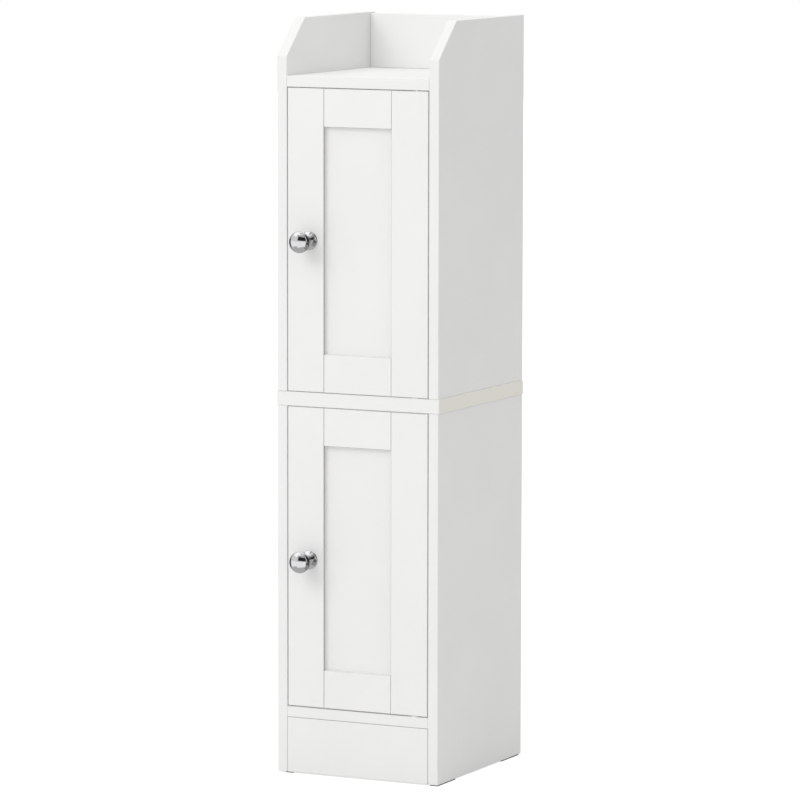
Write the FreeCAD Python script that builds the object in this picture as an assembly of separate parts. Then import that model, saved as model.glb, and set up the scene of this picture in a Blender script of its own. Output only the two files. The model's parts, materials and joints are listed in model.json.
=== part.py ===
import FreeCAD, Part
import math
import os

# Slim two-door bathroom cabinet with a tray-like gallery top.
# Millimetres. X is the width, -Y is the front, +Z is up.
# The origin is on the floor, under the middle of the whole outline, knobs included.

V = FreeCAD.Vector
Y_AXIS = V(0, 1, 0)
Z_AXIS = V(0, 0, 1)

# ---------------------------------------------------------------- overall size
WIDTH = 200.0             # over the side panels
DEPTH = 221.0             # side panels, front edge to rear edge
HEIGHT = 850.0            # floor to the top of the side panels

# ---------------------------------------------------------------- boards
SIDE_T = 12.0             # side panels
BOTTOM_T = 12.0           # board under the lower compartment
MIDDLE_T = 16.0           # board between the two compartments
TOP_T = 12.0              # board over the upper compartment
KICK_T = 12.0             # plinth board under the bottom board
GALLERY_T = 12.0          # rear board of the gallery
SHELF_T = 12.0            # loose shelves
BACK_T = 3.0              # thin back panels
ARRIS = 0.5               # small chamfer on every board edge
JOINT = 0.1               # hairline between boards that butt together
KICK_TOP = 64.4           # floor to the underside of the bottom board
MIDDLE_OVERHANG = 0.9     # how far the middle board stands proud of each side
GALLERY_RISE = 63.6       # side panels, above the top board
GALLERY_DROP = 1.8        # rear gallery board, below the tops of the sides
GALLERY_INSET = 0.5       # rear gallery board, in front of the rear edges
CORNER_DROP = 42.2        # cut-off front corner of the upper sides, down the front edge
CORNER_RUN = 45.0         # the same corner, back along the top edge

# ---------------------------------------------------------------- glide pads
PAD_T = 1.3
PAD_LENGTH = 45.5
PAD_WIDTH = 9.5
PAD_FRONT_INSET = 2.0     # front pads, behind the front edge
PAD_REAR_INSET = 5.0      # rear pads, in front of the rear edge
PAD_RIGHT_INSET = 0.5     # right-hand pads, in from the outer face
PAD_LEFT_INSET = 8.5      # left-hand pads, in from the outer face

# ---------------------------------------------------------------- back panel grooves
BACK_INSET = 8.0          # rear edge to the rear wall of the groove
BACK_GROOVE = 5.0         # groove depth in the sides
BACK_GROOVE_FLAT = 3.0    # groove depth in the horizontal boards
BACK_PLAY = 0.15          # play of a back panel on each face
BACK_END_PLAY = 0.6       # play at the bottom of each groove

# ---------------------------------------------------------------- doors
DOOR_T = 15.0
DOOR_SIDE_GAP = 1.2
LOWER_GAP_BOTTOM = 1.3
LOWER_GAP_TOP = 0.8
UPPER_GAP_BOTTOM = 0.8
UPPER_GAP_TOP = 1.0
STILE_WIDTH = 45.0
RAIL_HEIGHT = 42.6
RECESS = 5.5              # front of the frame to the front of the centre panel
PANEL_T = 5.0
TONGUE = 8.0              # tongue on each rail end
TONGUE_PLAY = 0.1         # play of tongues and panel on each face
TONGUE_END_PLAY = 0.5     # play at the bottom of the door grooves
FRAME_JOINT = 0.12        # hairline between stiles and rails

# ---------------------------------------------------------------- pivots of the doors
PIVOT_FROM_EDGE = 16.0    # axis, in from the hinge edge of the door
PIVOT_FROM_FACE = 5.2     # axis, behind the front of the door
PIN_DIA = 4.0
PIN_SEAT = 7.0            # pin length held in the board
PIN_REACH = 10.3          # pin length inside the bush, where the gap is narrowest
PIN_END_ROOM = 1.7        # bush, past the end of the pin
BUSH_DIA = 7.0
PIN_RUNNING = 0.07        # radial running clearance of the pin in the bush
WASHER_DIA = 10.0
WASHER_PLAY = 0.3         # between the washer and the door that it carries

# ---------------------------------------------------------------- knobs
KNOB_HEAD_DIA = 24.0
KNOB_HEAD_T = 14.0
KNOB_HEAD_CENTRE = 24.0   # middle of the head, in front of the door
KNOB_BALL_CHORDS = 6      # straight steps round the outline of the head
KNOB_NECK_DIA = 10.0
KNOB_COVE_CHORDS = 2      # straight steps of the cove between the step and the neck
KNOB_FLANGE_DIA = 22.5
KNOB_FLANGE_T = 1.6
KNOB_FLANGE_EDGE = 0.6    # small chamfer on the flange
KNOB_STEP_DIA = 17.5
KNOB_STEP_T = 1.6
KNOB_BORE_DEPTH = 14.0
KNOB_FROM_EDGE = 26.3     # axis, in from the opening edge of the door
UPPER_KNOB_DROP = 0.2     # knob axis, below the middle of its door
LOWER_KNOB_DROP = 2.6
KNOB_SCREW_END = 1.0      # end of the knob screw, short of the end of its bore

# ---------------------------------------------------------------- screws
SCREW_DIA = 4.0
SCREW_HEAD_DIA = 8.0
SCREW_HEAD_T = 2.4
SCREW_HOLE_PLAY = 0.25    # radial play of the knob screw in the stile
SCREW_SLOT = 0.9
SCREW_SLOT_DEPTH = 1.0
THREAD_PLAY = 0.03        # threads and pressed pieces in their holes

# ---------------------------------------------------------------- magnetic catches
CATCH_WALL = 2.4          # housing wall round the magnet
CATCH_EAR = 8.0           # length of each ear
CATCH_EAR_T = 2.5
CATCH_SEAT = 0.05         # housing to the board above it
MAGNET_LENGTH = 18.0
MAGNET_HEIGHT = 6.0
MAGNET_DEPTH = 9.0
MAGNET_PROUD = 0.6
MAGNET_PLAY = 0.1
MAGNET_DROP = 9.5         # middle of the magnet and strike plate, below the board above
STRIKE_LENGTH = 22.0
STRIKE_HEIGHT = 12.0
STRIKE_T = 1.2
STRIKE_PRONG = 5.0        # prongs pressed into the door
STRIKE_PRONG_WIDTH = 2.0
STRIKE_GAP = 0.3          # closed door, strike plate to magnet

# ---------------------------------------------------------------- shelves and pins
SHELF_SIDE_PLAY = 0.8
SHELF_FRONT_GAP = 10.0    # rear of the door to the front of the shelf
SHELF_REAR_GAP = 1.0
SHELF_RISE = 168.0        # floor of a compartment to the underside of its shelf
SHELF_PIN_DIA = 5.0
SHELF_PIN_SEAT = 8.0
SHELF_PIN_REACH = 6.5     # pin length under the shelf
SHELF_PIN_PLAY = 0.05
SHELF_PIN_FROM_EDGE = 30.0

# ---------------------------------------------------------------- loose tongues
LOOSE_TONGUE_T = 4.0         # wooden tongues that join the boards
LOOSE_TONGUE_IN_FACE = 6.0   # into the face of a board
LOOSE_TONGUE_IN_END = 9.0    # into the end of a board
LOOSE_TONGUE_PLAY = 0.05
LOOSE_TONGUE_END_PLAY = 0.5
LOOSE_TONGUE_FROM_FRONT = 30.0
LOOSE_TONGUE_FROM_REAR = 30.0
LOOSE_TONGUE_MARGIN = 10.0   # from the ends of the upright plinth and gallery boards
CUT_PAST = 0.5            # cutters run on past a face by this much, so that they open it

# ---------------------------------------------------------------- derived places
HALF = WIDTH / 2.0
INNER = HALF - SIDE_T
KNOB_REACH = KNOB_HEAD_CENTRE + KNOB_HEAD_T / 2.0
FRONT = (KNOB_REACH - DEPTH) / 2.0
REAR = FRONT + DEPTH
BOTTOM_TOP = KICK_TOP + BOTTOM_T
LOWER_DOOR_Z = BOTTOM_TOP + LOWER_GAP_BOTTOM
CLEAR_HEIGHT = HEIGHT - GALLERY_RISE - TOP_T - MIDDLE_T - BOTTOM_TOP
DOOR_GAPS = LOWER_GAP_BOTTOM + LOWER_GAP_TOP + UPPER_GAP_BOTTOM + UPPER_GAP_TOP
DOOR_HEIGHT = (CLEAR_HEIGHT - DOOR_GAPS) / 2.0
MIDDLE_Z = LOWER_DOOR_Z + DOOR_HEIGHT + LOWER_GAP_TOP
MIDDLE_TOP = MIDDLE_Z + MIDDLE_T
UPPER_DOOR_Z = MIDDLE_TOP + UPPER_GAP_BOTTOM
TOP_Z = UPPER_DOOR_Z + DOOR_HEIGHT + UPPER_GAP_TOP
TOP_TOP = TOP_Z + TOP_T
DOOR_HALF = INNER - DOOR_SIDE_GAP
DOOR_REAR = FRONT + DOOR_T
GROOVE_REAR = REAR - BACK_INSET
GROOVE_FRONT = GROOVE_REAR - BACK_T - 2.0 * BACK_PLAY
PIVOT_X = DOOR_HALF - PIVOT_FROM_EDGE
PIVOT_Y = FRONT + PIVOT_FROM_FACE
BUSH_LENGTH = PIN_REACH + PIN_END_ROOM
NARROWEST_GAP = min(LOWER_GAP_BOTTOM, LOWER_GAP_TOP, UPPER_GAP_BOTTOM, UPPER_GAP_TOP)
PIN_LENGTH = PIN_SEAT + NARROWEST_GAP + PIN_REACH
STILE_MIDDLE = DOOR_HALF - STILE_WIDTH / 2.0
RAIL_END = DOOR_HALF - STILE_WIDTH
KNOB_X = KNOB_FROM_EDGE - DOOR_HALF
PANEL_FRONT = FRONT + RECESS
GALLERY_REAR = REAR - GALLERY_INSET
SIDE_MIDDLE = INNER + SIDE_T / 2.0
SHELF_FRONT = DOOR_REAR + SHELF_FRONT_GAP
SHELF_REAR = GROOVE_FRONT - SHELF_REAR_GAP
SHELF_PIN_ROWS = (SHELF_FRONT + SHELF_PIN_FROM_EDGE, SHELF_REAR - SHELF_PIN_FROM_EDGE)
SIDES = {"left": -1, "right": 1}

pieces = {}
cuts = {}


# ---------------------------------------------------------------- basic solids
def block(x, y, z):
    """Plain block between the (low, high) pairs x, y and z."""
    return Part.makeBox(x[1] - x[0], y[1] - y[0], z[1] - z[0], V(x[0], y[0], z[0]))


def board(x, y, z):
    """Block with a small chamfer along every edge."""
    solid = block(x, y, z)
    return solid.makeChamfer(ARRIS, solid.Edges)


def span(side, near, far):
    """Low and high x of a stretch that lies near to far from the middle, on one side."""
    return tuple(sorted((side * near, side * far)))


def rod(diameter, start, direction, length):
    """Round bar from start, along direction."""
    return Part.makeCylinder(diameter / 2.0, length, start, direction)


def laid(solid, foot, axis):
    """Solid drawn up the Y axis, moved to foot and turned to point along axis."""
    placed = solid.copy()
    placed.Placement = FreeCAD.Placement(foot, FreeCAD.Rotation(Y_AXIS, axis))
    return placed


def turned(profile, foot, axis):
    """Solid of revolution from (height along axis, radius) points, first to last."""
    outline = [(profile[0][0], 0.0)] + profile
    if profile[-1][1] > 0:
        outline.append((profile[-1][0], 0.0))
    corners = [V(radius, height, 0) for height, radius in outline]
    wire = Part.makePolygon(corners + [corners[0]])
    return laid(Part.Face(wire).revolve(V(), Y_AXIS, 360), foot, axis)


def add(name, solid):
    """Put a solid into the sub-part of that name."""
    pieces.setdefault(name, []).append(solid)


def cut(name, *tools):
    """Note holes and grooves to be cut from the sub-part of that name."""
    cuts.setdefault(name, []).extend(tools)


# ---------------------------------------------------------------- loose tongues
def tongue_joint(x, y, z, thin, first, second):
    """Loose tongue across a joint, thin along the named axis, in a slightly larger groove."""
    limits = [x, y, z]
    add("joint_tongues", block(*limits))
    plays = [LOOSE_TONGUE_END_PLAY] * 3
    plays["xyz".index(thin)] = LOOSE_TONGUE_PLAY
    groove = block(*[(low - play, high + play) for (low, high), play in zip(limits, plays)])
    cut(first, groove)
    cut(second, groove)


def centred(middle):
    """Thickness of a loose tongue about a middle plane."""
    return (middle - LOOSE_TONGUE_T / 2.0, middle + LOOSE_TONGUE_T / 2.0)


def carcass_joints():
    """Loose tongues at every joint of the carcass, hidden in stopped grooves."""
    y = (FRONT + LOOSE_TONGUE_FROM_FRONT, REAR - LOOSE_TONGUE_FROM_REAR)
    kick_z = (PAD_T + LOOSE_TONGUE_MARGIN, KICK_TOP - LOOSE_TONGUE_MARGIN)
    gallery_z = (TOP_TOP + LOOSE_TONGUE_MARGIN, HEIGHT - GALLERY_DROP - LOOSE_TONGUE_MARGIN)
    for word, side in SIDES.items():
        lower = "lower_side_panel_" + word
        upper = "upper_side_panel_" + word
        x = span(side, INNER - LOOSE_TONGUE_IN_END, INNER + LOOSE_TONGUE_IN_FACE)
        tongue_joint(x, y, centred(KICK_TOP + BOTTOM_T / 2.0), "z", lower, "bottom_board")
        tongue_joint(x, y, centred(TOP_Z + TOP_T / 2.0), "z", upper, "top_board")
        tongue_joint(x, centred(FRONT + KICK_T / 2.0), kick_z, "y", lower, "kick_board")
        tongue_joint(x, centred(GALLERY_REAR - GALLERY_T / 2.0), gallery_z, "y", upper,
                     "gallery_back_board")
        x = centred(side * SIDE_MIDDLE)
        below = (MIDDLE_Z - LOOSE_TONGUE_IN_END, MIDDLE_Z + LOOSE_TONGUE_IN_FACE)
        above = (MIDDLE_TOP - LOOSE_TONGUE_IN_FACE, MIDDLE_TOP + LOOSE_TONGUE_IN_END)
        tongue_joint(x, y, below, "x", lower, "middle_board")
        tongue_joint(x, y, above, "x", upper, "middle_board")


# ---------------------------------------------------------------- carcass boards
def back_groove(x, z):
    """Groove for a thin back panel."""
    return block(x, (GROOVE_FRONT, GROOVE_REAR), z)


def side_panels():
    """Upper and lower side panels, the upper ones with a cut-off front top corner."""
    low_groove = (BOTTOM_TOP - BACK_GROOVE_FLAT, MIDDLE_Z + CUT_PAST)
    high_groove = (MIDDLE_TOP - CUT_PAST, TOP_Z + BACK_GROOVE_FLAT)
    base = MIDDLE_TOP + JOINT
    corners = [(FRONT, base), (FRONT, HEIGHT - CORNER_DROP), (FRONT + CORNER_RUN, HEIGHT),
               (REAR, HEIGHT), (REAR, base)]
    for word, side in SIDES.items():
        x = span(side, INNER, HALF)
        groove_x = span(side, INNER - CUT_PAST, INNER + BACK_GROOVE)
        lower = "lower_side_panel_" + word
        add(lower, board(x, (FRONT, REAR), (PAD_T, MIDDLE_Z - JOINT)))
        cut(lower, back_groove(groove_x, low_groove))
        points = [V(x[0], y, z) for y, z in corners]
        outline = Part.makePolygon(points + [points[0]])
        solid = Part.Face(outline).extrude(V(SIDE_T, 0, 0))
        upper = "upper_side_panel_" + word
        add(upper, solid.makeChamfer(ARRIS, solid.Edges))
        cut(upper, back_groove(groove_x, high_groove))


def flat_boards():
    """Bottom, middle, top, kick and gallery boards."""
    inside = (-INNER + JOINT, INNER - JOINT)
    groove_x = (-INNER - CUT_PAST, INNER + CUT_PAST)
    add("bottom_board", board(inside, (FRONT, REAR), (KICK_TOP, BOTTOM_TOP)))
    cut("bottom_board",
        back_groove(groove_x, (BOTTOM_TOP - BACK_GROOVE_FLAT, BOTTOM_TOP + CUT_PAST)))
    over = HALF + MIDDLE_OVERHANG
    add("middle_board", board((-over, over), (FRONT, REAR), (MIDDLE_Z, MIDDLE_TOP)))
    groove_x = (-INNER - BACK_GROOVE, INNER + BACK_GROOVE)
    cut("middle_board",
        back_groove(groove_x, (MIDDLE_Z - CUT_PAST, MIDDLE_Z + BACK_GROOVE_FLAT)),
        back_groove(groove_x, (MIDDLE_TOP - BACK_GROOVE_FLAT, MIDDLE_TOP + CUT_PAST)))
    add("top_board", board(inside, (FRONT, REAR), (TOP_Z, TOP_TOP)))
    cut("top_board", back_groove(groove_x, (TOP_Z - CUT_PAST, TOP_Z + BACK_GROOVE_FLAT)))
    add("kick_board", board(inside, (FRONT, FRONT + KICK_T), (PAD_T, KICK_TOP - JOINT)))
    add("gallery_back_board", board(inside, (GALLERY_REAR - GALLERY_T, GALLERY_REAR),
                                    (TOP_TOP + JOINT, HEIGHT - GALLERY_DROP)))


def back_panels():
    """Thin back panels, held in grooves on all four sides."""
    half = INNER + BACK_GROOVE - BACK_END_PLAY
    y = (GROOVE_FRONT + BACK_PLAY, GROOVE_REAR - BACK_PLAY)
    tuck = BACK_GROOVE_FLAT - BACK_END_PLAY
    add("lower_back_panel", block((-half, half), y, (BOTTOM_TOP - tuck, MIDDLE_Z + tuck)))
    add("upper_back_panel", block((-half, half), y, (MIDDLE_TOP - tuck, TOP_Z + tuck)))


def shelves():
    """One loose shelf in each compartment, on four plain pins."""
    half = INNER - SHELF_SIDE_PLAY
    length = SHELF_PIN_REACH + SHELF_PIN_SEAT
    for level, floor in (("lower", BOTTOM_TOP), ("upper", MIDDLE_TOP)):
        rise = floor + SHELF_RISE
        add(level + "_shelf", board((-half, half), (SHELF_FRONT, SHELF_REAR), (rise, rise + SHELF_T)))
        for word, side in SIDES.items():
            outward = V(side, 0, 0)
            for y in SHELF_PIN_ROWS:
                start = V(side * (INNER - SHELF_PIN_REACH), y, rise - SHELF_PIN_DIA / 2.0)
                add("shelf_pins", rod(SHELF_PIN_DIA, start, outward, length))
                cut(level + "_side_panel_" + word,
                    rod(SHELF_PIN_DIA + 2 * SHELF_PIN_PLAY, start, outward, length + CUT_PAST))


def glide_pads():
    """Four thin pads that carry the side panels off the floor."""
    front_pads = (FRONT + PAD_FRONT_INSET, FRONT + PAD_FRONT_INSET + PAD_LENGTH)
    rear_pads = (REAR - PAD_REAR_INSET - PAD_LENGTH, REAR - PAD_REAR_INSET)
    for side, inset in ((SIDES["left"], PAD_LEFT_INSET), (SIDES["right"], PAD_RIGHT_INSET)):
        x = span(side, HALF - inset - PAD_WIDTH, HALF - inset)
        for y in (front_pads, rear_pads):
            add("glide_pads", block(x, y, (0, PAD_T)))


# ---------------------------------------------------------------- doors
def door_frame(level, low):
    """Two stiles, two rails and a centre panel, tongued and grooved together."""
    high = low + DOOR_HEIGHT
    y = (FRONT, DOOR_REAR)
    groove_y = (PANEL_FRONT - TONGUE_PLAY, PANEL_FRONT + PANEL_T + TONGUE_PLAY)
    tongue_y = (PANEL_FRONT, PANEL_FRONT + PANEL_T)
    groove = TONGUE + TONGUE_END_PLAY
    for word, side in SIDES.items():
        stile = level + "_door_stile_" + word
        add(stile, board(span(side, RAIL_END, DOOR_HALF), y, (low, high)))
        cut(stile, block(span(side, RAIL_END - CUT_PAST, RAIL_END + groove), groove_y,
                         (low - CUT_PAST, high + CUT_PAST)))
    rail_half = RAIL_END - FRAME_JOINT
    tongue_half = RAIL_END + TONGUE
    rails = (("bottom", low, low + RAIL_HEIGHT, low + RAIL_HEIGHT - groove),
             ("top", high - RAIL_HEIGHT, high, high - RAIL_HEIGHT - CUT_PAST))
    for word, start, end, groove_low in rails:
        rail = board((-rail_half, rail_half), y, (start, end))
        tongue = block((-tongue_half, tongue_half), tongue_y, (start + ARRIS, end - ARRIS))
        add(level + "_door_rail_" + word, rail.fuse(tongue))
        cut(level + "_door_rail_" + word,
            block((-tongue_half - CUT_PAST, tongue_half + CUT_PAST), groove_y,
                  (groove_low, groove_low + groove + CUT_PAST)))
    inner_low = low + RAIL_HEIGHT - TONGUE
    inner_high = high - RAIL_HEIGHT + TONGUE
    add(level + "_door_panel",
        block((-tongue_half, tongue_half), tongue_y, (inner_low, inner_high)))


def knob_profile():
    """(height, radius) points of the knob's outline, from its seat to its nose."""
    flange = KNOB_FLANGE_DIA / 2.0
    step = KNOB_STEP_DIA / 2.0
    neck = KNOB_NECK_DIA / 2.0
    head = KNOB_HEAD_DIA / 2.0
    half = KNOB_HEAD_T / 2.0
    cove = step - neck
    cove_end = KNOB_FLANGE_T + KNOB_STEP_T + cove
    points = [(0, flange), (KNOB_FLANGE_T - KNOB_FLANGE_EDGE, flange),
              (KNOB_FLANGE_T, flange - KNOB_FLANGE_EDGE), (KNOB_FLANGE_T, step)]
    for chord in range(KNOB_COVE_CHORDS + 1):
        turn = math.pi / 2.0 * chord / KNOB_COVE_CHORDS
        points.append((cove_end - cove * math.cos(turn), step - cove * math.sin(turn)))
    # The head is a flattened ball: an oval that starts where it is as wide as the neck.
    start = -math.acos(neck / head)
    for chord in range(KNOB_BALL_CHORDS):
        turn = start + (math.pi / 2.0 - start) * chord / KNOB_BALL_CHORDS
        points.append((KNOB_HEAD_CENTRE + half * math.sin(turn), head * math.cos(turn)))
    points.append((KNOB_HEAD_CENTRE + half, 0.0))
    return points


def knob(level, low, drop):
    """Turned knob on the opening stile, held by a screw from inside the door."""
    z = low + DOOR_HEIGHT / 2.0 - drop
    seat = V(KNOB_X, FRONT, z)
    bore = rod(SCREW_DIA + 2 * THREAD_PLAY, seat + Y_AXIS * CUT_PAST, -Y_AXIS,
               KNOB_BORE_DEPTH + CUT_PAST)
    add(level + "_knob", turned(knob_profile(), seat, -Y_AXIS))
    cut(level + "_knob", bore)
    back = V(KNOB_X, DOOR_REAR, z)
    radius = SCREW_DIA / 2.0
    head = SCREW_HEAD_DIA / 2.0
    length = DOOR_T + KNOB_BORE_DEPTH - KNOB_SCREW_END
    screw = turned([(-SCREW_HEAD_T, head), (0, head), (0, radius), (length, radius)], back, -Y_AXIS)
    slot = Part.makeBox(SCREW_HEAD_DIA, 2 * SCREW_SLOT_DEPTH, SCREW_SLOT,
                        V(-SCREW_HEAD_DIA / 2.0, -SCREW_SLOT_DEPTH, -SCREW_SLOT / 2.0))
    add(level + "_knob_screw", screw)
    cut(level + "_knob_screw", laid(slot, back + Y_AXIS * SCREW_HEAD_T, -Y_AXIS))
    cut(level + "_door_stile_left",
        rod(SCREW_DIA + 2 * SCREW_HOLE_PLAY, back + Y_AXIS * CUT_PAST, -Y_AXIS,
            DOOR_T + 2 * CUT_PAST))


def pivots(level, low, gap_below, gap_above, board_below, board_above):
    """Pin and bush at each end of the hinge stile, and the washer that carries the door."""
    ends = ((low, -Z_AXIS, gap_below, board_below),
            (low + DOOR_HEIGHT, Z_AXIS, gap_above, board_above))
    for z, away, gap, carrier in ends:
        foot = V(PIVOT_X, PIVOT_Y, z)
        bore = rod(PIN_DIA + 2 * PIN_RUNNING, foot + away * CUT_PAST, -away,
                   BUSH_LENGTH + 2 * CUT_PAST)
        add(level + "_door_bushes", rod(BUSH_DIA, foot, -away, BUSH_LENGTH).cut(bore))
        cut(level + "_door_stile_right",
            rod(BUSH_DIA + 2 * THREAD_PLAY, foot + away * CUT_PAST, -away,
                BUSH_LENGTH + CUT_PAST))
        seat = foot + away * gap
        add("door_pivot_pins", rod(PIN_DIA, seat + away * PIN_SEAT, -away, PIN_LENGTH))
        cut(carrier, rod(PIN_DIA + 2 * THREAD_PLAY, seat - away * CUT_PAST, away,
                         PIN_SEAT + CUT_PAST))
    face = V(PIVOT_X, PIVOT_Y, low - gap_below)
    ring = rod(WASHER_DIA, face, Z_AXIS, gap_below - WASHER_PLAY)
    add("door_washers", ring.cut(rod(PIN_DIA + 2 * PIN_RUNNING, face, Z_AXIS, gap_below)))


def catch(level, ceiling):
    """Magnetic catch under the board, and its strike plate on the opening stile."""
    x = -STILE_MIDDLE
    z = ceiling - MAGNET_DROP
    plate_face = DOOR_REAR + STRIKE_T
    magnet_face = plate_face + STRIKE_GAP
    magnet_rear = magnet_face + MAGNET_DEPTH
    magnet_x = MAGNET_LENGTH / 2.0
    magnet_z = MAGNET_HEIGHT / 2.0
    body_x = magnet_x + MAGNET_PLAY + CATCH_WALL
    ear_x = body_x + CATCH_EAR
    y = (magnet_face + MAGNET_PROUD, magnet_rear + MAGNET_PLAY + CATCH_WALL)
    top = ceiling - CATCH_SEAT
    housing = block((x - body_x, x + body_x), y,
                    (z - magnet_z - MAGNET_PLAY - CATCH_WALL, top))
    ears = block((x - ear_x, x + ear_x), y, (top - CATCH_EAR_T, top))
    name = level + "_catch_housing"
    add(name, housing.fuse(ears))
    cut(name, block((x - magnet_x - MAGNET_PLAY, x + magnet_x + MAGNET_PLAY),
                    (magnet_face, magnet_rear + MAGNET_PLAY),
                    (z - magnet_z - MAGNET_PLAY, z + magnet_z + MAGNET_PLAY)))
    add(level + "_catch_magnet", block((x - magnet_x, x + magnet_x), (magnet_face, magnet_rear),
                                       (z - magnet_z, z + magnet_z)))
    strike(level, V(x, DOOR_REAR, z))


def strike(level, centre):
    """Strike plate with two prongs pressed into the opening stile."""
    half_x = STRIKE_LENGTH / 2.0
    x = (centre.x - half_x, centre.x + half_x)
    z = (centre.z - STRIKE_HEIGHT / 2.0, centre.z + STRIKE_HEIGHT / 2.0)
    plate = block(x, (centre.y, centre.y + STRIKE_T), z)
    for side in SIDES.values():
        prong_x = span(side, half_x - STRIKE_T, half_x)
        prong_x = (centre.x + prong_x[0], centre.x + prong_x[1])
        prong_z = (centre.z - STRIKE_PRONG_WIDTH / 2.0, centre.z + STRIKE_PRONG_WIDTH / 2.0)
        plate = plate.fuse(block(prong_x, (centre.y - STRIKE_PRONG, centre.y), prong_z))
        cut(level + "_door_stile_left",
            block((prong_x[0] - THREAD_PLAY, prong_x[1] + THREAD_PLAY),
                  (centre.y - STRIKE_PRONG - CUT_PAST, centre.y + CUT_PAST),
                  (prong_z[0] - THREAD_PLAY, prong_z[1] + THREAD_PLAY)))
    add(level + "_strike_plate", plate.removeSplitter())


def door(level, low, gap_below, gap_above, board_below, board_above, knob_drop):
    """A whole door with its knob, pivots and catch."""
    door_frame(level, low)
    knob(level, low, knob_drop)
    pivots(level, low, gap_below, gap_above, board_below, board_above)
    catch(level, low + DOOR_HEIGHT + gap_above)


# ---------------------------------------------------------------- the whole cabinet
def write_all():
    """Make every noted cut and write one STEP file per sub-part."""
    os.makedirs("parts", exist_ok=True)
    for name, solids in pieces.items():
        shape = Part.Compound(solids)
        if name in cuts:
            shape = shape.cut(cuts[name])
        if not shape.isValid() or len(shape.Solids) != len(solids):
            raise ValueError(name + " did not come out as its own sound solids")
        shape.exportStep("parts/" + name + ".step")


carcass_joints()
side_panels()
flat_boards()
back_panels()
shelves()
glide_pads()
door("lower", LOWER_DOOR_Z, LOWER_GAP_BOTTOM, LOWER_GAP_TOP, "bottom_board", "middle_board",
     LOWER_KNOB_DROP)
door("upper", UPPER_DOOR_Z, UPPER_GAP_BOTTOM, UPPER_GAP_TOP, "middle_board", "top_board",
     UPPER_KNOB_DROP)
write_all()
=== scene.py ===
import json
import math

import bpy
import numpy as np
from bpy.props import FloatProperty, FloatVectorProperty, IntProperty, PointerProperty
from mathutils import Matrix, Vector


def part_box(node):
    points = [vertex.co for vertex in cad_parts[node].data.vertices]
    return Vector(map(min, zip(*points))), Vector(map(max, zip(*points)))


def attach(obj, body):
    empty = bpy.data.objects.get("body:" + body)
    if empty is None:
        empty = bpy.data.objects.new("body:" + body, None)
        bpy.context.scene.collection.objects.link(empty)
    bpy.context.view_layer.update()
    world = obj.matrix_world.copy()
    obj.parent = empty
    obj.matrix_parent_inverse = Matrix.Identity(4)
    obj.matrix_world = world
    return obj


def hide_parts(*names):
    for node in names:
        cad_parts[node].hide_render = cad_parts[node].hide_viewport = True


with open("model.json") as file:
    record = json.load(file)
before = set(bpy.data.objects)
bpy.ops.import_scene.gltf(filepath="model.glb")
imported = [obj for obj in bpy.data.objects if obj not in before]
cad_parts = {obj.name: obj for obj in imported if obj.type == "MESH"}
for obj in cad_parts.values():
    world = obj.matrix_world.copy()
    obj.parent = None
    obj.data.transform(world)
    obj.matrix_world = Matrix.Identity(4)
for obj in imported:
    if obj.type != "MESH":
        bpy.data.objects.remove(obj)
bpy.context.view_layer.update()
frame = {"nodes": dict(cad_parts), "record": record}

bl_info = {
    "name": "Slim bathroom cabinet",
    "version": (1, 0, 0),
    "blender": (4, 5, 0),
    "location": "3D Viewport > Sidebar > Cabinet",
    "description": "Finishes, turned knobs, small hardware and studio stage of a slim white cabinet",
    "category": "Object",
}

LEVELS = ("lower", "upper")
MM = 0.001
# Unit vectors of the frame: x to the right, y to the back, z up.
RIGHT, BACK, UP = np.eye(3)
WHITE = (1.0, 1.0, 1.0, 1.0)


# ---------------------------------------------------------------- sizes and colours
def length(name, default_mm, description):
    """Length property, given in millimetres and stored in metres."""
    return FloatProperty(name=name, description=description, default=default_mm * MM, unit="LENGTH",
                         precision=5)


def colour(name, default, description):
    """Linear colour property."""
    return FloatVectorProperty(name=name, description=description, default=default, size=3,
                               subtype="COLOR", min=0.0, max=1.0)


class CabinetFinish(bpy.types.PropertyGroup):
    """Colours and gloss of the cabinet's materials."""

    board: colour("Board", (0.86, 0.86, 0.85), "White lacquer on the boards and doors")
    board_edge: colour("Edge band", (0.86, 0.845, 0.78), "Band round the side edges of the middle board")
    # Painted shade: a near-black hairline laid along the door recess edges and the kick board's joints
    # to darken them as shade would.
    seam: colour("Seam", (0.07, 0.07, 0.07), "Hairline where two coated faces meet")
    thin_board: colour("Thin board", (0.84, 0.84, 0.83), "Coating of the back panels")
    chrome: colour("Chrome", (0.62, 0.62, 0.63), "Polished plating of the knobs")
    steel: colour("Plated steel", (0.66, 0.66, 0.67), "Pins, screws and strike plates")
    nylon: colour("Nylon", (0.82, 0.82, 0.80), "Bushes and washers")
    plastic: colour("Housing plastic", (0.84, 0.84, 0.83), "Catch housings")
    magnet: colour("Ferrite", (0.10, 0.10, 0.10), "Magnets")
    pad: colour("Pad plastic", (0.18, 0.18, 0.18), "Glide pads")
    beech: colour("Beech", (0.72, 0.55, 0.36), "Loose tongues")
    board_gloss: FloatProperty(name="Board roughness", description="Mean roughness of the lacquer",
                               default=0.42, min=0.0, max=1.0, subtype="FACTOR")
    # Width and depth of the painted shade hairline.
    shade_seam_width: length("Seam width", 0.2, "Seam on the front face")
    shade_seam_depth: length("Seam depth", 1.5, "Seam on the face behind the arris")


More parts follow.
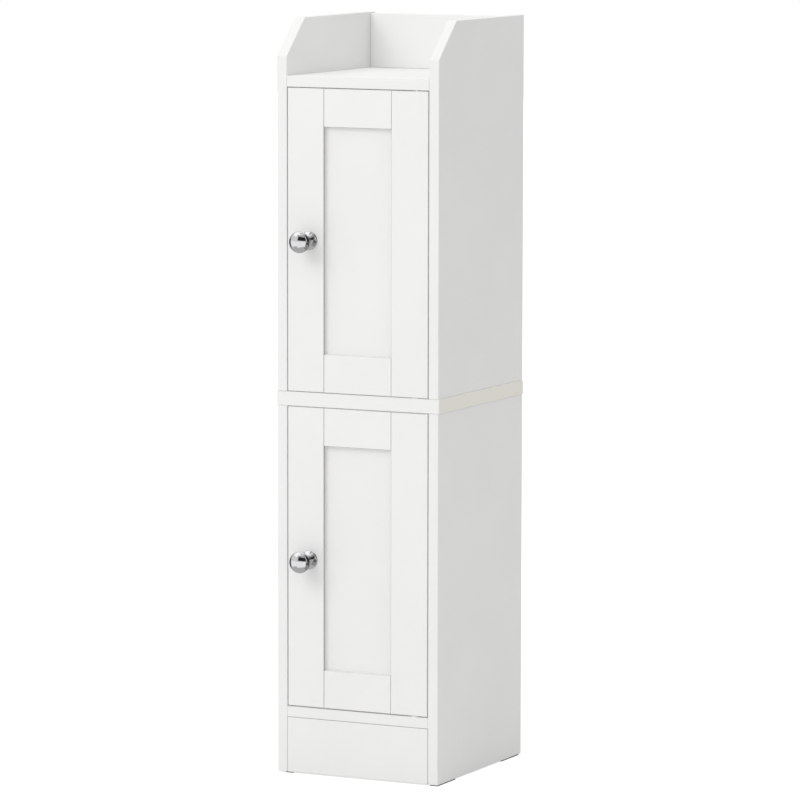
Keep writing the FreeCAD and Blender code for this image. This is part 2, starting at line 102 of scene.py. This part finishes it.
class KnobShape(bpy.types.PropertyGroup):
    """Sizes of the turned knobs."""

    head_diameter: length("Head diameter", 24.2, "Widest part of the head")
    head_thickness: length("Head thickness", 16.0, "Head, front to back")
    head_centre: length("Head centre", 23.0, "Middle of the head, in front of the door")
    neck_diameter: length("Neck diameter", 10.0, "Neck between the step and the head")
    flange_diameter: length("Flange diameter", 21.2, "Plate against the door")
    flange_thickness: length("Flange thickness", 1.2, "Upright edge of the plate")
    collar_diameter: length("Collar diameter", 12.4, "Ring at the top of the conical flange")
    collar_height: length("Collar height", 6.4, "Top of the collar, in front of the door")
    edge_radius: length("Edge radius", 0.4, "Rounding of the flange and collar")
    around: IntProperty(name="Segments", description="Segments round the knob", default=96, min=24)


class ScrewShape(bpy.types.PropertyGroup):
    """Sizes of the small cross-recess screws."""

    head_diameter: length("Head diameter", 5.6, "Screw head")
    head_height: length("Head height", 1.7, "Screw head")
    shank_diameter: length("Shank diameter", 2.8, "Below the head")
    shank_length: length("Shank length", 2.4, "Shank that goes through the ear")
    recess_length: length("Recess length", 3.4, "Across the cross recess")
    recess_width: length("Recess width", 0.75, "Each arm of the recess")
    recess_depth: length("Recess depth", 0.9, "Depth of the recess")


class StageLook(bpy.types.PropertyGroup):
    """Lights, floor and camera of the studio."""

    key_power: FloatProperty(name="Key light", description="Soft light from the upper left front",
                             default=27.0, min=0.0, unit="POWER")
    key_size: length("Key size", 1700.0, "Side of the square key light")
    top_power: FloatProperty(name="Top light", description="Soft light from straight above",
                             default=12.5, min=0.0, unit="POWER")
    top_size: length("Top size", 700.0, "Side of the square top light")
    horizon: FloatProperty(name="Sky at the horizon", description="Strength of the room's light",
                           default=0.73, min=0.0)
    zenith: FloatProperty(name="Sky overhead", description="Strength of the room's light",
                          default=1.0, min=0.0)
    floor: colour("Floor", (0.80, 0.80, 0.80), "Pale floor")
    floor_shade: FloatProperty(name="Floor shading",
                               description="Share of the floor's own shading that the camera sees",
                               default=0.6, min=0.0, max=1.0, subtype="FACTOR")
    floor_glow: FloatProperty(name="Floor glow", description="White added to the floor for the camera",
                              default=0.76, min=0.0, max=1.0, subtype="FACTOR")
    floor_size: length("Floor size", 24000.0, "Side of the square floor")
    lens: FloatProperty(name="Focal length", description="Camera lens, in millimetres on a 36 mm sensor",
                        default=232.416, min=1.0)
    yaw: FloatProperty(name="Yaw", description="Camera's turn to the right of the front",
                       default=math.radians(26.18194), subtype="ANGLE")
    pitch: FloatProperty(name="Pitch", description="Camera's tilt downwards",
                         default=math.radians(6.63906), subtype="ANGLE")
    roll: FloatProperty(name="Roll", description="Camera's turn about its own axis",
                        default=math.radians(0.08711), subtype="ANGLE")
    place: FloatVectorProperty(name="Place", description="Camera's place", size=3,
                               default=(2.55990, -5.19387, 1.09243), subtype="TRANSLATION")


GROUPS = {
    "cabinet_finish": CabinetFinish,
    "cabinet_knob": KnobShape,
    "cabinet_screw": ScrewShape,
    "cabinet_stage": StageLook,
}


# ---------------------------------------------------------------- materials
# Ranges of a noise value that a smooth step is laid over.
NOISE_MIDDLE = (0.3, 0.7)
NOISE_WIDE = (0.2, 0.8)
# A face slopes where the product of its normal's y and z is below the limit.
SLOPE_LIMIT = -0.2
SLOPE_TONE = 0.88
# How far past the side panels the edge band starts.
BAND_CLEARANCE = 0.1 * MM


class Tree:
    """Adds and links the nodes of one node tree."""

    def __init__(self, tree):
        self.tree = tree
        tree.nodes.clear()

    def node(self, kind, inputs=None, **settings):
        """New shader node; inputs are values or the sockets that feed it."""
        made = self.tree.nodes.new("ShaderNode" + kind)
        for key, value in settings.items():
            setattr(made, key, value)
        for key, value in (inputs or {}).items():
            socket = made.inputs[key]
            if isinstance(value, bpy.types.NodeSocket):
                self.tree.links.new(value, socket)
            else:
                socket.default_value = value
        return made

    def math(self, operation, first, second=0.0):
        """Result of one operation on one or two numbers or sockets."""
        return self.node("Math", {0: first, 1: second}, operation=operation).outputs[0]

    def step(self, value, start, end, low=0.0, high=1.0):
        """Smooth change from low to high while value goes from start to end."""
        made = self.node("MapRange", {"Value": value, "From Min": start, "From Max": end,
                                      "To Min": low, "To Max": high}, interpolation_type="SMOOTHSTEP")
        return made.outputs["Result"]

    def noise(self, vector, scale, detail=3.0, roughness=0.5):
        """Noise value between 0 and 1, at scale features a metre."""
        made = self.node("TexNoise", {"Vector": vector, "Scale": scale, "Detail": detail,
                                      "Roughness": roughness})
        return made.outputs["Fac"]

    def mix(self, factor, first, second):
        """Colour between first and second."""
        made = self.node("Mix", {"Factor": factor}, data_type="RGBA")
        for socket, value in ((made.inputs[6], first), (made.inputs[7], second)):
            if isinstance(value, bpy.types.NodeSocket):
                self.tree.links.new(value, socket)
            else:
                socket.default_value = value
        return made.outputs[2]

    def bump(self, height, strength, distance):
        """Normal of a rough surface."""
        made = self.node("Bump", {"Height": height, "Strength": strength, "Distance": distance})
        return made.outputs["Normal"]


def shaded(base, factor):
    """Colour made darker or lighter, with full alpha."""
    return tuple(min(1.0, channel * factor) for channel in base) + (1.0,)


def material(name):
    """New material, its tree, and the object coordinates in metres."""
    made = bpy.data.materials.new(name)
    made.use_nodes = True
    tree = Tree(made.node_tree)
    return made, tree, tree.node("TexCoord").outputs["Object"]


def surface(tree, **inputs):
    """Principled surface, linked to the material's output."""
    names = {key.replace("_", " ").title(): value for key, value in inputs.items()}
    shader = tree.node("BsdfPrincipled", names)
    tree.node("OutputMaterial", {"Surface": shader.outputs[0]})


def lacquered_board(name, look, edge_from, shade_seams=(), front=0.0):
    """White lacquer: cloudy tone, a fine rolled texture, and a warmer tone beyond edge_from in |x|.

    Sloping edges, which face both front and up, are slightly darker.
    Each seam is (axis, place) and lies on an edge of the board: painted shade, a dark hairline
    where |x| or z is within the seam width of place, from the front to the seam depth behind it,
    which darkens the arris and the recess wall behind it as shade would.
    """
    made, tree, place = material(name)
    base, gloss = look.board, look.board_gloss
    cloud = tree.noise(place, scale=9.0, detail=4.0)
    tone = tree.mix(tree.step(cloud, *NOISE_MIDDLE), shaded(base, 0.988), shaded(base, 1.006))
    parts = tree.node("SeparateXYZ", {"Vector": place}).outputs
    across = tree.math("ABSOLUTE", parts["X"])
    beyond = tree.math("GREATER_THAN", across, edge_from)
    tone = tree.mix(beyond, tone, shaded(look.board_edge, 1.0))
    faces = tree.node("SeparateXYZ", {"Vector": tree.node("TexCoord").outputs["Normal"]}).outputs
    sloping = tree.math("LESS_THAN", tree.math("MULTIPLY", faces["Y"], faces["Z"]), SLOPE_LIMIT)
    tone = tree.mix(sloping, tone, shaded(base, SLOPE_TONE))
    # Painted shade: near-black hairlines on the board's recess edges and joints.
    near_front = tree.math("LESS_THAN", parts["Y"], front + look.shade_seam_depth)
    for axis, at in shade_seams:
        along = across if axis == "X" else parts[axis]
        away = tree.math("ABSOLUTE", tree.math("SUBTRACT", along, at))
        shade_line = tree.math("MULTIPLY", tree.math("LESS_THAN", away, look.shade_seam_width), near_front)
        tone = tree.mix(shade_line, tone, shaded(look.seam, 1.0))
    peel = tree.noise(place, scale=1100.0, detail=2.0)
    ripple = tree.noise(place, scale=260.0, detail=2.0)
    height = tree.math("ADD", tree.math("MULTIPLY", peel, 0.5), ripple)
    rough = tree.step(tree.noise(place, scale=45.0), *NOISE_MIDDLE, low=gloss - 0.03, high=gloss + 0.04)
    surface(tree, base_color=tone, roughness=rough,
            normal=tree.bump(height, strength=0.10, distance=0.00006))
    return made


def thin_board(name, base):
    """Thin coated fibre board with faint long fibres."""
    made, tree, place = material(name)
    stretched = tree.node("Mapping", {"Vector": place, "Scale": (1.0, 1.0, 0.12)}).outputs[0]
    fibre = tree.noise(stretched, scale=420.0, detail=4.0, roughness=0.6)
    tone = tree.mix(tree.step(fibre, *NOISE_MIDDLE), shaded(base, 0.97), shaded(base, 1.0))
    surface(tree, base_color=tone, roughness=tree.step(fibre, *NOISE_WIDE, low=0.5, high=0.6),
            normal=tree.bump(fibre, strength=0.15, distance=0.0001))
    return made


def polished_chrome(name, base):
    """Mirror plating with faint wipe marks in its gloss."""
    made, tree, place = material(name)
    wipe = tree.noise(place, scale=160.0)
    wave = tree.noise(place, scale=90.0, detail=1.0)
    rough = tree.step(wipe, 0.35, 0.75, low=0.03, high=0.07)
    tone = tree.mix(wipe, shaded(base, 0.98), shaded(base, 1.02))
    surface(tree, base_color=tone, metallic=1.0, roughness=rough,
            normal=tree.bump(wave, strength=0.02, distance=0.0001))
    return made


def plated_steel(name, base):
    """Bright zinc plating: slightly streaky, with a faint warm and cool cast."""
    made, tree, place = material(name)
    cloud = tree.noise(place, scale=240.0, detail=4.0)
    cool = (base[0] * 0.94, base[1] * 0.97, base[2] * 1.04, 1.0)
    warm = (base[0] * 1.04, base[1] * 1.01, base[2] * 0.94, 1.0)
    tone = tree.mix(tree.step(cloud, *NOISE_MIDDLE), cool, warm)
    grain = tree.noise(place, scale=2500.0, detail=2.0)
    rough = tree.step(grain, *NOISE_WIDE, low=0.24, high=0.36)
    surface(tree, base_color=tone, metallic=1.0, roughness=rough,
            normal=tree.bump(grain, strength=0.15, distance=0.00003))
    return made


def moulded_plastic(name, base, rough, grain_scale, grain_depth):
    """Moulded plastic with an even spark-eroded grain."""
    made, tree, place = material(name)
    grain = tree.noise(place, grain_scale, roughness=0.6)
    cloud = tree.noise(place, scale=60.0, detail=2.0)
    tone = tree.mix(cloud, shaded(base, 0.97), shaded(base, 1.01))
    spread = tree.step(grain, *NOISE_WIDE, low=rough - 0.05, high=rough + 0.05)
    surface(tree, base_color=tone, roughness=spread,
            normal=tree.bump(grain, strength=0.3, distance=grain_depth))
    return made


def sintered_ferrite(name, base):
    """Dark ceramic magnet with a fine sparkle and ground faces."""
    made, tree, place = material(name)
    grain = tree.noise(place, scale=3200.0, roughness=0.7)
    tone = tree.mix(tree.step(grain, 0.45, 0.8), shaded(base, 0.8), shaded(base, 1.7))
    surface(tree, base_color=tone, roughness=tree.step(grain, *NOISE_WIDE, low=0.45, high=0.7),
            normal=tree.bump(grain, strength=0.3, distance=0.00005))
    return made


def planed_beech(name, base):
    """Beech with straight grain along y and short darker flecks."""
    made, tree, place = material(name)
    along = tree.node("Mapping", {"Vector": place, "Scale": (1.0, 0.04, 1.0)}).outputs[0]
    flecks = tree.node("Mapping", {"Vector": place, "Scale": (1.0, 0.2, 1.0)}).outputs[0]
    grain = tree.noise(along, scale=700.0, detail=4.0, roughness=0.6)
    fleck = tree.step(tree.noise(flecks, scale=1500.0, detail=1.0), 0.62, 0.72)
    tone = tree.mix(tree.step(grain, *NOISE_MIDDLE), shaded(base, 0.86), shaded(base, 1.06))
    tone = tree.mix(fleck, tone, shaded(base, 0.66))
    surface(tree, base_color=tone, roughness=0.6, normal=tree.bump(grain, strength=0.2, distance=0.0001))
    return made


def board_shade_seams(part):
    """Painted shade seams of one kind of board, each as (axis, place).

    They run along the inner edges of the stiles, the lower edges of the top rails, and the top and
    side edges of the kick board, where the recesses and joints lie in shade.
    """
    if part == "stile":
        return [("X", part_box("upper_door_stile_right")[0].x)]
    if part == "top_rail":
        return [("Z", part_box(level + "_door_rail_top")[0].z) for level in LEVELS]
    if part == "kick":
        far_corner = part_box("kick_board")[1]
        return [("Z", far_corner.z), ("X", far_corner.x)]
    return []


def finish_for(slot, part=""):
    """The material of one of the record's slots, made once for each kind of part."""
    name = "_".join(filter(None, ("finish", slot, part)))
    found = bpy.data.materials.get(name)
    if found:
        return found
    look = bpy.context.scene.cabinet_finish
    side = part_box("upper_side_panel_right")[1].x + BAND_CLEARANCE
    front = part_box("kick_board" if part == "kick" else "upper_door_stile_left")[0].y
    makers = {
        "white_board": lambda: lacquered_board(name, look, side, board_shade_seams(part), front),
        "white_thin_board": lambda: thin_board(name, look.thin_board),
        "chrome": lambda: polished_chrome(name, look.chrome),
        "plated_steel": lambda: plated_steel(name, look.steel),
        "nylon": lambda: moulded_plastic(name, look.nylon, rough=0.38, grain_scale=900.0,
                                         grain_depth=0.00004),
        "white_plastic": lambda: moulded_plastic(name, look.plastic, rough=0.45, grain_scale=1800.0,
                                                 grain_depth=0.00008),
        "pad_plastic": lambda: moulded_plastic(name, look.pad, rough=0.7, grain_scale=1200.0,
                                               grain_depth=0.0001),
        "magnet": lambda: sintered_ferrite(name, look.magnet),
        "beech": lambda: planed_beech(name, look.beech),
    }
    return makers[slot]()


def slot_of(node):
    """The record's material slot of a node."""
    return next(part["material_slot"] for part in frame["record"]["subparts"] if part["node"] == node)


def dress(nodes, part=""):
    """Give CAD nodes the finish of their own slot."""
    for node in nodes:
        mesh = frame["nodes"][node].data
        mesh.materials.clear()
        mesh.materials.append(finish_for(slot_of(node), part))


def nodes_like(*words):
    """Names of the CAD nodes that hold any of the words."""
    return [name for name in sorted(frame["nodes"]) if any(word in name for word in words)]


# ---------------------------------------------------------------- surfaces
SHARP_ANGLE = math.radians(35)
# Points along the parts of the knob's outline.
CORNER_POINTS = 7
CONE_POINTS = 9
COVE_POINTS = 17
NECK_POINTS = 6
BALL_POINTS = 65
# How much the cone swells over a straight one, and the angle left open at the ball's pole.
CONE_SWELL = 0.15
POLE_ANGLE = 0.02
# The screw head's grid, its smallest ring, its rim's share of the height and its recess's soft edge.
SCREW_AROUND = 64
SCREW_RINGS = 40
SMALLEST_RING = 0.02
RIM_SHARE = 0.45
RECESS_EDGE = 0.18 * MM


def mesh_piece(name, points, faces, slot, body):
    """New piece from arrays of points and four- or three-cornered faces, riding on a body."""
    mesh = bpy.data.meshes.new(name)
    mesh.from_pydata(points.tolist(), [], faces)
    mesh.update()
    mesh.shade_smooth()
    mesh.set_sharp_from_angle(angle=SHARP_ANGLE)
    mesh.materials.append(finish_for(slot))
    piece = bpy.data.objects.new(name, mesh)
    bpy.context.scene.collection.objects.link(piece)
    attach(piece, body)
    return piece


def polar_shell(radius, height, around, foot, side, other, axis):
    """Points and faces of a closed shell round an axis, on a polar grid.

    radius and height are arrays over (ring, segment). A point is
    foot + radius * (cos u * side + sin u * other) + height * axis.
    One pole closes the first ring and one the last.
    """
    turn = np.linspace(0.0, 2.0 * np.pi, around, endpoint=False)
    flat = np.cos(turn)[:, None] * side + np.sin(turn)[:, None] * other
    grid = foot + radius[..., None] * flat + height[..., None] * axis
    rings = len(radius)
    poles = np.array([foot + height[0].mean() * axis, foot + height[-1].mean() * axis])
    points = np.vstack([grid.reshape(-1, 3), poles])
    ring, seg = np.meshgrid(np.arange(rings - 1), np.arange(around), indexing="ij")
    after = (seg + 1) % around
    quads = np.stack([ring * around + seg, ring * around + after,
                      (ring + 1) * around + after, (ring + 1) * around + seg], -1).reshape(-1, 4)
    seg = np.arange(around)
    after = (seg + 1) % around
    last = (rings - 1) * around
    first_cap = np.stack([np.full(around, rings * around), after, seg], -1)
    last_cap = np.stack([np.full(around, rings * around + 1), last + seg, last + after], -1)
    return points, quads.tolist() + first_cap.tolist() + last_cap.tolist()


def round_corner(height, radius, edge):
    """(height, radius) points of a quarter circle about a centre: centre + edge (sin u, cos u)."""
    turn = np.linspace(0.0, math.pi / 2.0, CORNER_POINTS)
    return np.stack([height + edge * np.sin(turn), radius + edge * np.cos(turn)], -1)


def knob_outline(shape):
    """(height, radius) points of a knob: conical flange, collar, cove, neck and a flattened ball.

    The cone swells by a parabola, edges and cove are quarter circles, and the ball is an oval.
    """
    flange = shape.flange_diameter / 2.0
    collar = shape.collar_diameter / 2.0
    neck = shape.neck_diameter / 2.0
    head = shape.head_diameter / 2.0
    half = shape.head_thickness / 2.0
    edge = shape.edge_radius
    quarter = math.pi / 2.0
    foot = shape.flange_thickness
    top = shape.collar_height
    part = np.linspace(0.0, 1.0, CONE_POINTS)
    # The cone ends half an edge radius below the collar's rounding.
    rise = top - 1.5 * edge - foot
    cone = np.stack([foot + rise * ((1.0 + CONE_SWELL) * part - CONE_SWELL * part ** 2),
                     flange - edge + (collar - flange + edge) * part], -1)
    cove = collar - edge - neck
    turn = np.linspace(0.0, quarter, COVE_POINTS)
    hollow = np.stack([top + cove * (1.0 - np.cos(turn)), collar - edge - cove * np.sin(turn)], -1)
    turn = np.linspace(-math.acos(neck / head), quarter - POLE_ANGLE, BALL_POINTS)
    ball = np.stack([shape.head_centre + half * np.sin(turn), head * np.cos(turn)], -1)
    rises = np.linspace(hollow[-1, 0], ball[0, 0], NECK_POINTS)[1:-1]
    neck_line = np.stack([rises, np.full(len(rises), neck)], -1)
    return np.vstack([
        [[0.0, flange]],
        round_corner(foot - edge, flange - edge, edge),
        cone[1:],
        round_corner(top - edge, collar - edge, edge),
        hollow[1:],
        neck_line,
        ball,
    ])


def screw_head(shape, foot, axis, side, other):
    """Points and faces of a pan-head screw with a cross recess, which stands on foot.

    Height over the seat is a rim plus a dome (1 - (r/R)^4), less the recess, which is the product
    of two ramps: one across each arm and one along it. A straight shank goes down from the seat.
    """
    around = SCREW_AROUND
    radius = shape.head_diameter / 2.0
    ring = np.linspace(1.0, SMALLEST_RING, SCREW_RINGS) * radius
    turn = np.linspace(0.0, 2.0 * np.pi, around, endpoint=False)
    r = np.repeat(ring[:, None], around, 1)
    rim = RIM_SHARE * shape.head_height
    dome = rim + (1.0 - RIM_SHARE) * shape.head_height * (1.0 - (r / radius) ** 4)
    first = np.abs(r * np.cos(turn))
    second = np.abs(r * np.sin(turn))
    near, far = np.minimum(first, second), np.maximum(first, second)
    across = np.clip((shape.recess_width / 2.0 - near) / RECESS_EDGE + 0.5, 0.0, 1.0)
    along = np.clip((shape.recess_length / 2.0 - far) / (3.0 * RECESS_EDGE) + 0.5, 0.0, 1.0)
    head = dome - shape.recess_depth * across * along
    shank = shape.shank_diameter / 2.0
    lower_r = np.array([shank, shank, radius])[:, None].repeat(around, 1)
    lower_h = np.array([-shape.shank_length, 0.0, 0.0])[:, None].repeat(around, 1)
    return polar_shell(np.vstack([lower_r, r]), np.vstack([lower_h, head]), around,
                       foot, side, other, axis)


# ---------------------------------------------------------------- operators
# The catch screws stand this far in from the housing's ends, under ears of this thickness.
SCREW_INSET = 4.0 * MM
EAR_THICKNESS = 2.5 * MM


class Dresser:
    """Settings that all operators share."""

    bl_options = {"REGISTER", "UNDO"}


class CABINET_OT_boards(Dresser, bpy.types.Operator):
    """Lacquer the carcass boards and shelves and coat the back panels"""

    bl_idname = "cabinet.boards"
    bl_label = "Carcass boards"

    def execute(self, context):
        dress(nodes_like("_board", "side_panel", "_shelf", "back_panel"))
        dress(nodes_like("kick_board"), "kick")
        return {"FINISHED"}


class CABINET_OT_doors(Dresser, bpy.types.Operator):
    """Lacquer the stiles, rails and centre panels of both doors"""

    bl_idname = "cabinet.doors"
    bl_label = "Framed doors"

    def execute(self, context):
        dress(nodes_like("door_panel"))
        dress(nodes_like("_stile_"), "stile")
        dress(nodes_like("_rail_bottom"))
        dress(nodes_like("_rail_top"), "top_rail")
        return {"FINISHED"}


class CABINET_OT_knobs(Dresser, bpy.types.Operator):
    """Turn the two round metal knobs and plate them"""

    bl_idname = "cabinet.knobs"
    bl_label = "Turned knobs"

    def execute(self, context):
        shape = context.scene.cabinet_knob
        outline = knob_outline(shape)
        around = shape.around
        height = outline[:, :1].repeat(around, 1)
        radius = outline[:, 1:].repeat(around, 1)
        for level in LEVELS:
            low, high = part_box(level + "_knob")
            seat = np.array([(low.x + high.x) / 2.0, high.y, (low.z + high.z) / 2.0])
            points, faces = polar_shell(radius, height, around, seat, RIGHT, UP, -BACK)
            piece = mesh_piece(level + "_turned_knob", points, faces, "chrome", level + "_door")
            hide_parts(level + "_knob")
        # The chrome mirrors only the studio, as in the photograph, so the boards stay out of it.
        for node in frame["nodes"].values():
            node.visible_glossy = False
        return {"FINISHED"}


class CABINET_OT_hardware(Dresser, bpy.types.Operator):
    """Finish the pins, bushes, washers, screws, catches, pads and tongues"""

    bl_idname = "cabinet.hardware"
    bl_label = "Hidden hardware"

    def execute(self, context):
        dress(nodes_like("_pins", "_bushes", "_washers", "_screw", "_catch_", "_strike_", "_pads",
                         "_tongues"))
        shape = context.scene.cabinet_screw
        for level in LEVELS:
            low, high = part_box(level + "_catch_housing")
            middle = (low.x + high.x) / 2.0
            reach = (high.x - low.x) / 2.0 - SCREW_INSET
            for word, way in (("left", -1.0), ("right", 1.0)):
                foot = np.array([middle + way * reach, (low.y + high.y) / 2.0, high.z - EAR_THICKNESS])
                points, faces = screw_head(shape, foot, -UP, RIGHT, -BACK)
                name = "%s_catch_screw_%s" % (level, word)
                mesh_piece(name, points, faces, "plated_steel", "cabinet")
        return {"FINISHED"}


# ---------------------------------------------------------------- studio
# What the chrome reflects: strength, then from and to in turn (right of the front) and in rise, degrees.
ROOM = (
    (0.36, 62.0, 200.0, -60.0, -18.0),  # floor at the right and behind
    (0.08, -200.0, -86.0, -24.0, 14.0),  # dark, low at the left and behind
    (0.50, -86.0, -74.0, -24.0, 8.0),  # grey strip at the left
    (1.20, -80.0, 62.0, -27.0, 6.0),  # bright band round the front
    (1.20, -25.0, 62.0, -39.0, -25.0),  # lower step of that band
    (0.12, 68.0, 200.0, -22.0, 8.0),  # dark, low at the right and behind
    (0.75, -200.0, -80.0, 12.0, 36.0),  # pale, higher at the left and behind
    (0.92, -85.0, -20.0, 4.0, 44.0),  # pale wall, front left
    (0.03, -16.0, 72.0, 11.0, 45.0),  # dark screen, front right
    (0.04, 88.0, 170.0, 4.0, 42.0),  # dark screen at the right
    (0.50, -36.0, 70.0, 44.0, 62.0),  # grey over the front screen
    (0.22, 70.0, 140.0, 42.0, 60.0),  # dark grey over the right screen
    (1.00, -200.0, 200.0, 62.0, 95.0),  # ceiling
    (0.55, 62.0, 130.0, 58.0, 74.0),  # grey patch of the ceiling at the right
    (0.75, 76.0, 88.0, -4.0, 56.0),  # pale strip between the screens
    (1.45, -175.0, -36.0, 36.0, 84.0),  # softbox at the upper left
    (1.40, -40.0, -8.0, 56.0, 84.0),  # end of that softbox over the front
    (1.20, -200.0, -125.0, 30.0, 95.0),  # softbox behind, from the left
    (1.20, 170.0, 200.0, 30.0, 95.0),  # softbox behind, from the right
    (0.55, -200.0, 200.0, 80.0, 95.0),  # grey straight overhead
)
# Strength where no patch lies, and width of the patches' soft edges in degrees.
ROOM_FLOOR = 0.60
ROOM_SOFTNESS = 8.0
# Rise in degrees above which the sky has its overhead strength.
SKY_TOP = 80.0
KEY_PLACE, KEY_TARGET = (-1.0, -2.6, 2.5), (0.0, 0.0, 0.45)
TOP_PLACE, TOP_TARGET = (0.0, 0.05, 3.2), (0.0, 0.02, 0.8)
SENSOR_WIDTH = 36.0
FAR_CLIP = 100.0


def reflected_room(tree, way):
    """Strength of the studio that the chrome reflects, and the rise of the ray in degrees.

    The patches of ROOM are laid one over another, in their order.
    """
    degrees = 180.0 / math.pi
    rise = tree.math("MULTIPLY", tree.math("ARCSINE", way["Z"]), degrees)
    turn = tree.math("MULTIPLY", tree.math("ARCTAN2", way["X"], tree.math("MULTIPLY", way["Y"], -1.0)),
                     degrees)
    seen = ROOM_FLOOR
    soft = ROOM_SOFTNESS / 2.0
    for strength, left, right, low, high in ROOM:
        inside = 1.0
        for angle, start, end in ((turn, left, right), (rise, low, high)):
            inside = tree.math("MULTIPLY", inside, tree.step(angle, start - soft, start + soft))
            inside = tree.math("MULTIPLY", inside, tree.step(angle, end - soft, end + soft, 1.0, 0.0))
        seen = tree.node("Mix", {"Factor": inside, "A": seen, "B": strength}).outputs[0]
    return seen, rise


def studio_world(look):
    """Room light: white to the camera, a soft sky for the boards, and softboxes for the chrome."""
    world = bpy.data.worlds.new("studio")
    world.use_nodes = True
    tree = Tree(world.node_tree)
    way = tree.node("SeparateXYZ", {"Vector": tree.node("TexCoord").outputs["Generated"]}).outputs
    mirror, rise = reflected_room(tree, way)
    sky = tree.step(rise, 0.0, SKY_TOP, low=look.horizon, high=look.zenith)
    rays = tree.node("LightPath").outputs
    strength = tree.node("Mix", {"Factor": rays["Is Glossy Ray"], "A": sky, "B": mirror})
    strength = tree.node("Mix", {"Factor": rays["Is Camera Ray"], "A": strength.outputs[0], "B": 1.0})
    light = tree.node("Background", {"Color": WHITE, "Strength": strength.outputs[0]})
    tree.node("OutputWorld", {"Surface": light.outputs[0]})
    return world


def floor_finish(look):
    """Pale floor: plain to the boards, white to the camera except in shadow, clear to the chrome."""
    made, tree, place = material("floor")
    tone = tree.mix(tree.noise(place, scale=6.0), shaded(look.floor, 0.99), shaded(look.floor, 1.01))
    plain = tree.node("BsdfDiffuse", {"Color": tone}).outputs[0]
    faint = tree.node("BsdfDiffuse", {"Color": shaded(look.floor, look.floor_shade)}).outputs[0]
    glow = tree.node("Emission", {"Strength": look.floor_glow}).outputs[0]
    seen = tree.node("AddShader", {0: faint, 1: glow}).outputs[0]
    rays = tree.node("LightPath").outputs
    both = tree.node("MixShader", {0: rays["Is Camera Ray"], 1: plain, 2: seen}).outputs[0]
    clear = tree.node("BsdfTransparent").outputs[0]
    whole = tree.node("MixShader", {0: rays["Is Glossy Ray"], 1: both, 2: clear}).outputs[0]
    tree.node("OutputMaterial", {"Surface": whole})
    return made


def soft_light(name, power, side, place, target):
    """Square area light at place that looks at target and is not seen in the chrome."""
    lamp = bpy.data.lights.new(name, "AREA")
    lamp.energy = power
    lamp.size = side
    light = bpy.data.objects.new(name, lamp)
    back = (Vector(place) - Vector(target)).normalized()
    light.matrix_world = Matrix.Translation(place) @ back.to_track_quat("Z", "Y").to_matrix().to_4x4()
    light.visible_glossy = False
    bpy.context.scene.collection.objects.link(light)


class CABINET_OT_stage(Dresser, bpy.types.Operator):
    """Set up the floor, the soft lights and the camera"""

    bl_idname = "cabinet.stage"
    bl_label = "Studio stage"

    def execute(self, context):
        look = context.scene.cabinet_stage
        scene = context.scene
        scene.world = studio_world(look)
        scene.view_settings.view_transform = "Standard"
        half = look.floor_size / 2.0
        mesh = bpy.data.meshes.new("studio_floor")
        mesh.from_pydata([(-half, -half, 0), (half, -half, 0), (half, half, 0), (-half, half, 0)], [],
                         [(0, 1, 2, 3)])
        mesh.materials.append(floor_finish(look))
        ground = bpy.data.objects.new("studio_floor", mesh)
        scene.collection.objects.link(ground)
        soft_light("key", look.key_power, look.key_size, KEY_PLACE, KEY_TARGET)
        soft_light("top", look.top_power, look.top_size, TOP_PLACE, TOP_TARGET)
        lens = bpy.data.cameras.new("camera")
        lens.lens = look.lens
        lens.sensor_width = SENSOR_WIDTH
        lens.clip_end = FAR_CLIP
        camera = bpy.data.objects.new("camera", lens)
        turned = Matrix.Rotation(look.yaw, 4, "Z") @ Matrix.Rotation(math.pi / 2 - look.pitch, 4, "X")
        camera.matrix_world = (Matrix.Translation(look.place) @ turned
                               @ Matrix.Rotation(look.roll, 4, "Z"))
        scene.collection.objects.link(camera)
        scene.camera = camera
        return {"FINISHED"}


OPERATORS = (CABINET_OT_boards, CABINET_OT_doors, CABINET_OT_knobs, CABINET_OT_hardware,
             CABINET_OT_stage)


class CABINET_PT_panel(bpy.types.Panel):
    """Sidebar panel with the cabinet's steps and sizes."""

    bl_idname = "CABINET_PT_panel"
    bl_label = "Slim bathroom cabinet"
    bl_space_type = "VIEW_3D"
    bl_region_type = "UI"
    bl_category = "Cabinet"

    def draw(self, context):
        for operator in OPERATORS:
            self.layout.operator(operator.bl_idname)
        for group in GROUPS:
            box = self.layout.box()
            settings = getattr(context.scene, group)
            for name in settings.__annotations__:
                box.prop(settings, name)


def register():
    for group, kind in GROUPS.items():
        bpy.utils.register_class(kind)
        setattr(bpy.types.Scene, group, PointerProperty(type=kind))
    for kind in OPERATORS + (CABINET_PT_panel,):
        bpy.utils.register_class(kind)


def unregister():
    for kind in reversed(OPERATORS + (CABINET_PT_panel,)):
        bpy.utils.unregister_class(kind)
    for group, kind in GROUPS.items():
        delattr(bpy.types.Scene, group)
        bpy.utils.unregister_class(kind)


def main():
    register()
    for operator in OPERATORS:
        group, step = operator.bl_idname.split(".")
        getattr(getattr(bpy.ops, group), step)()


if __name__ == "__main__":
    main()
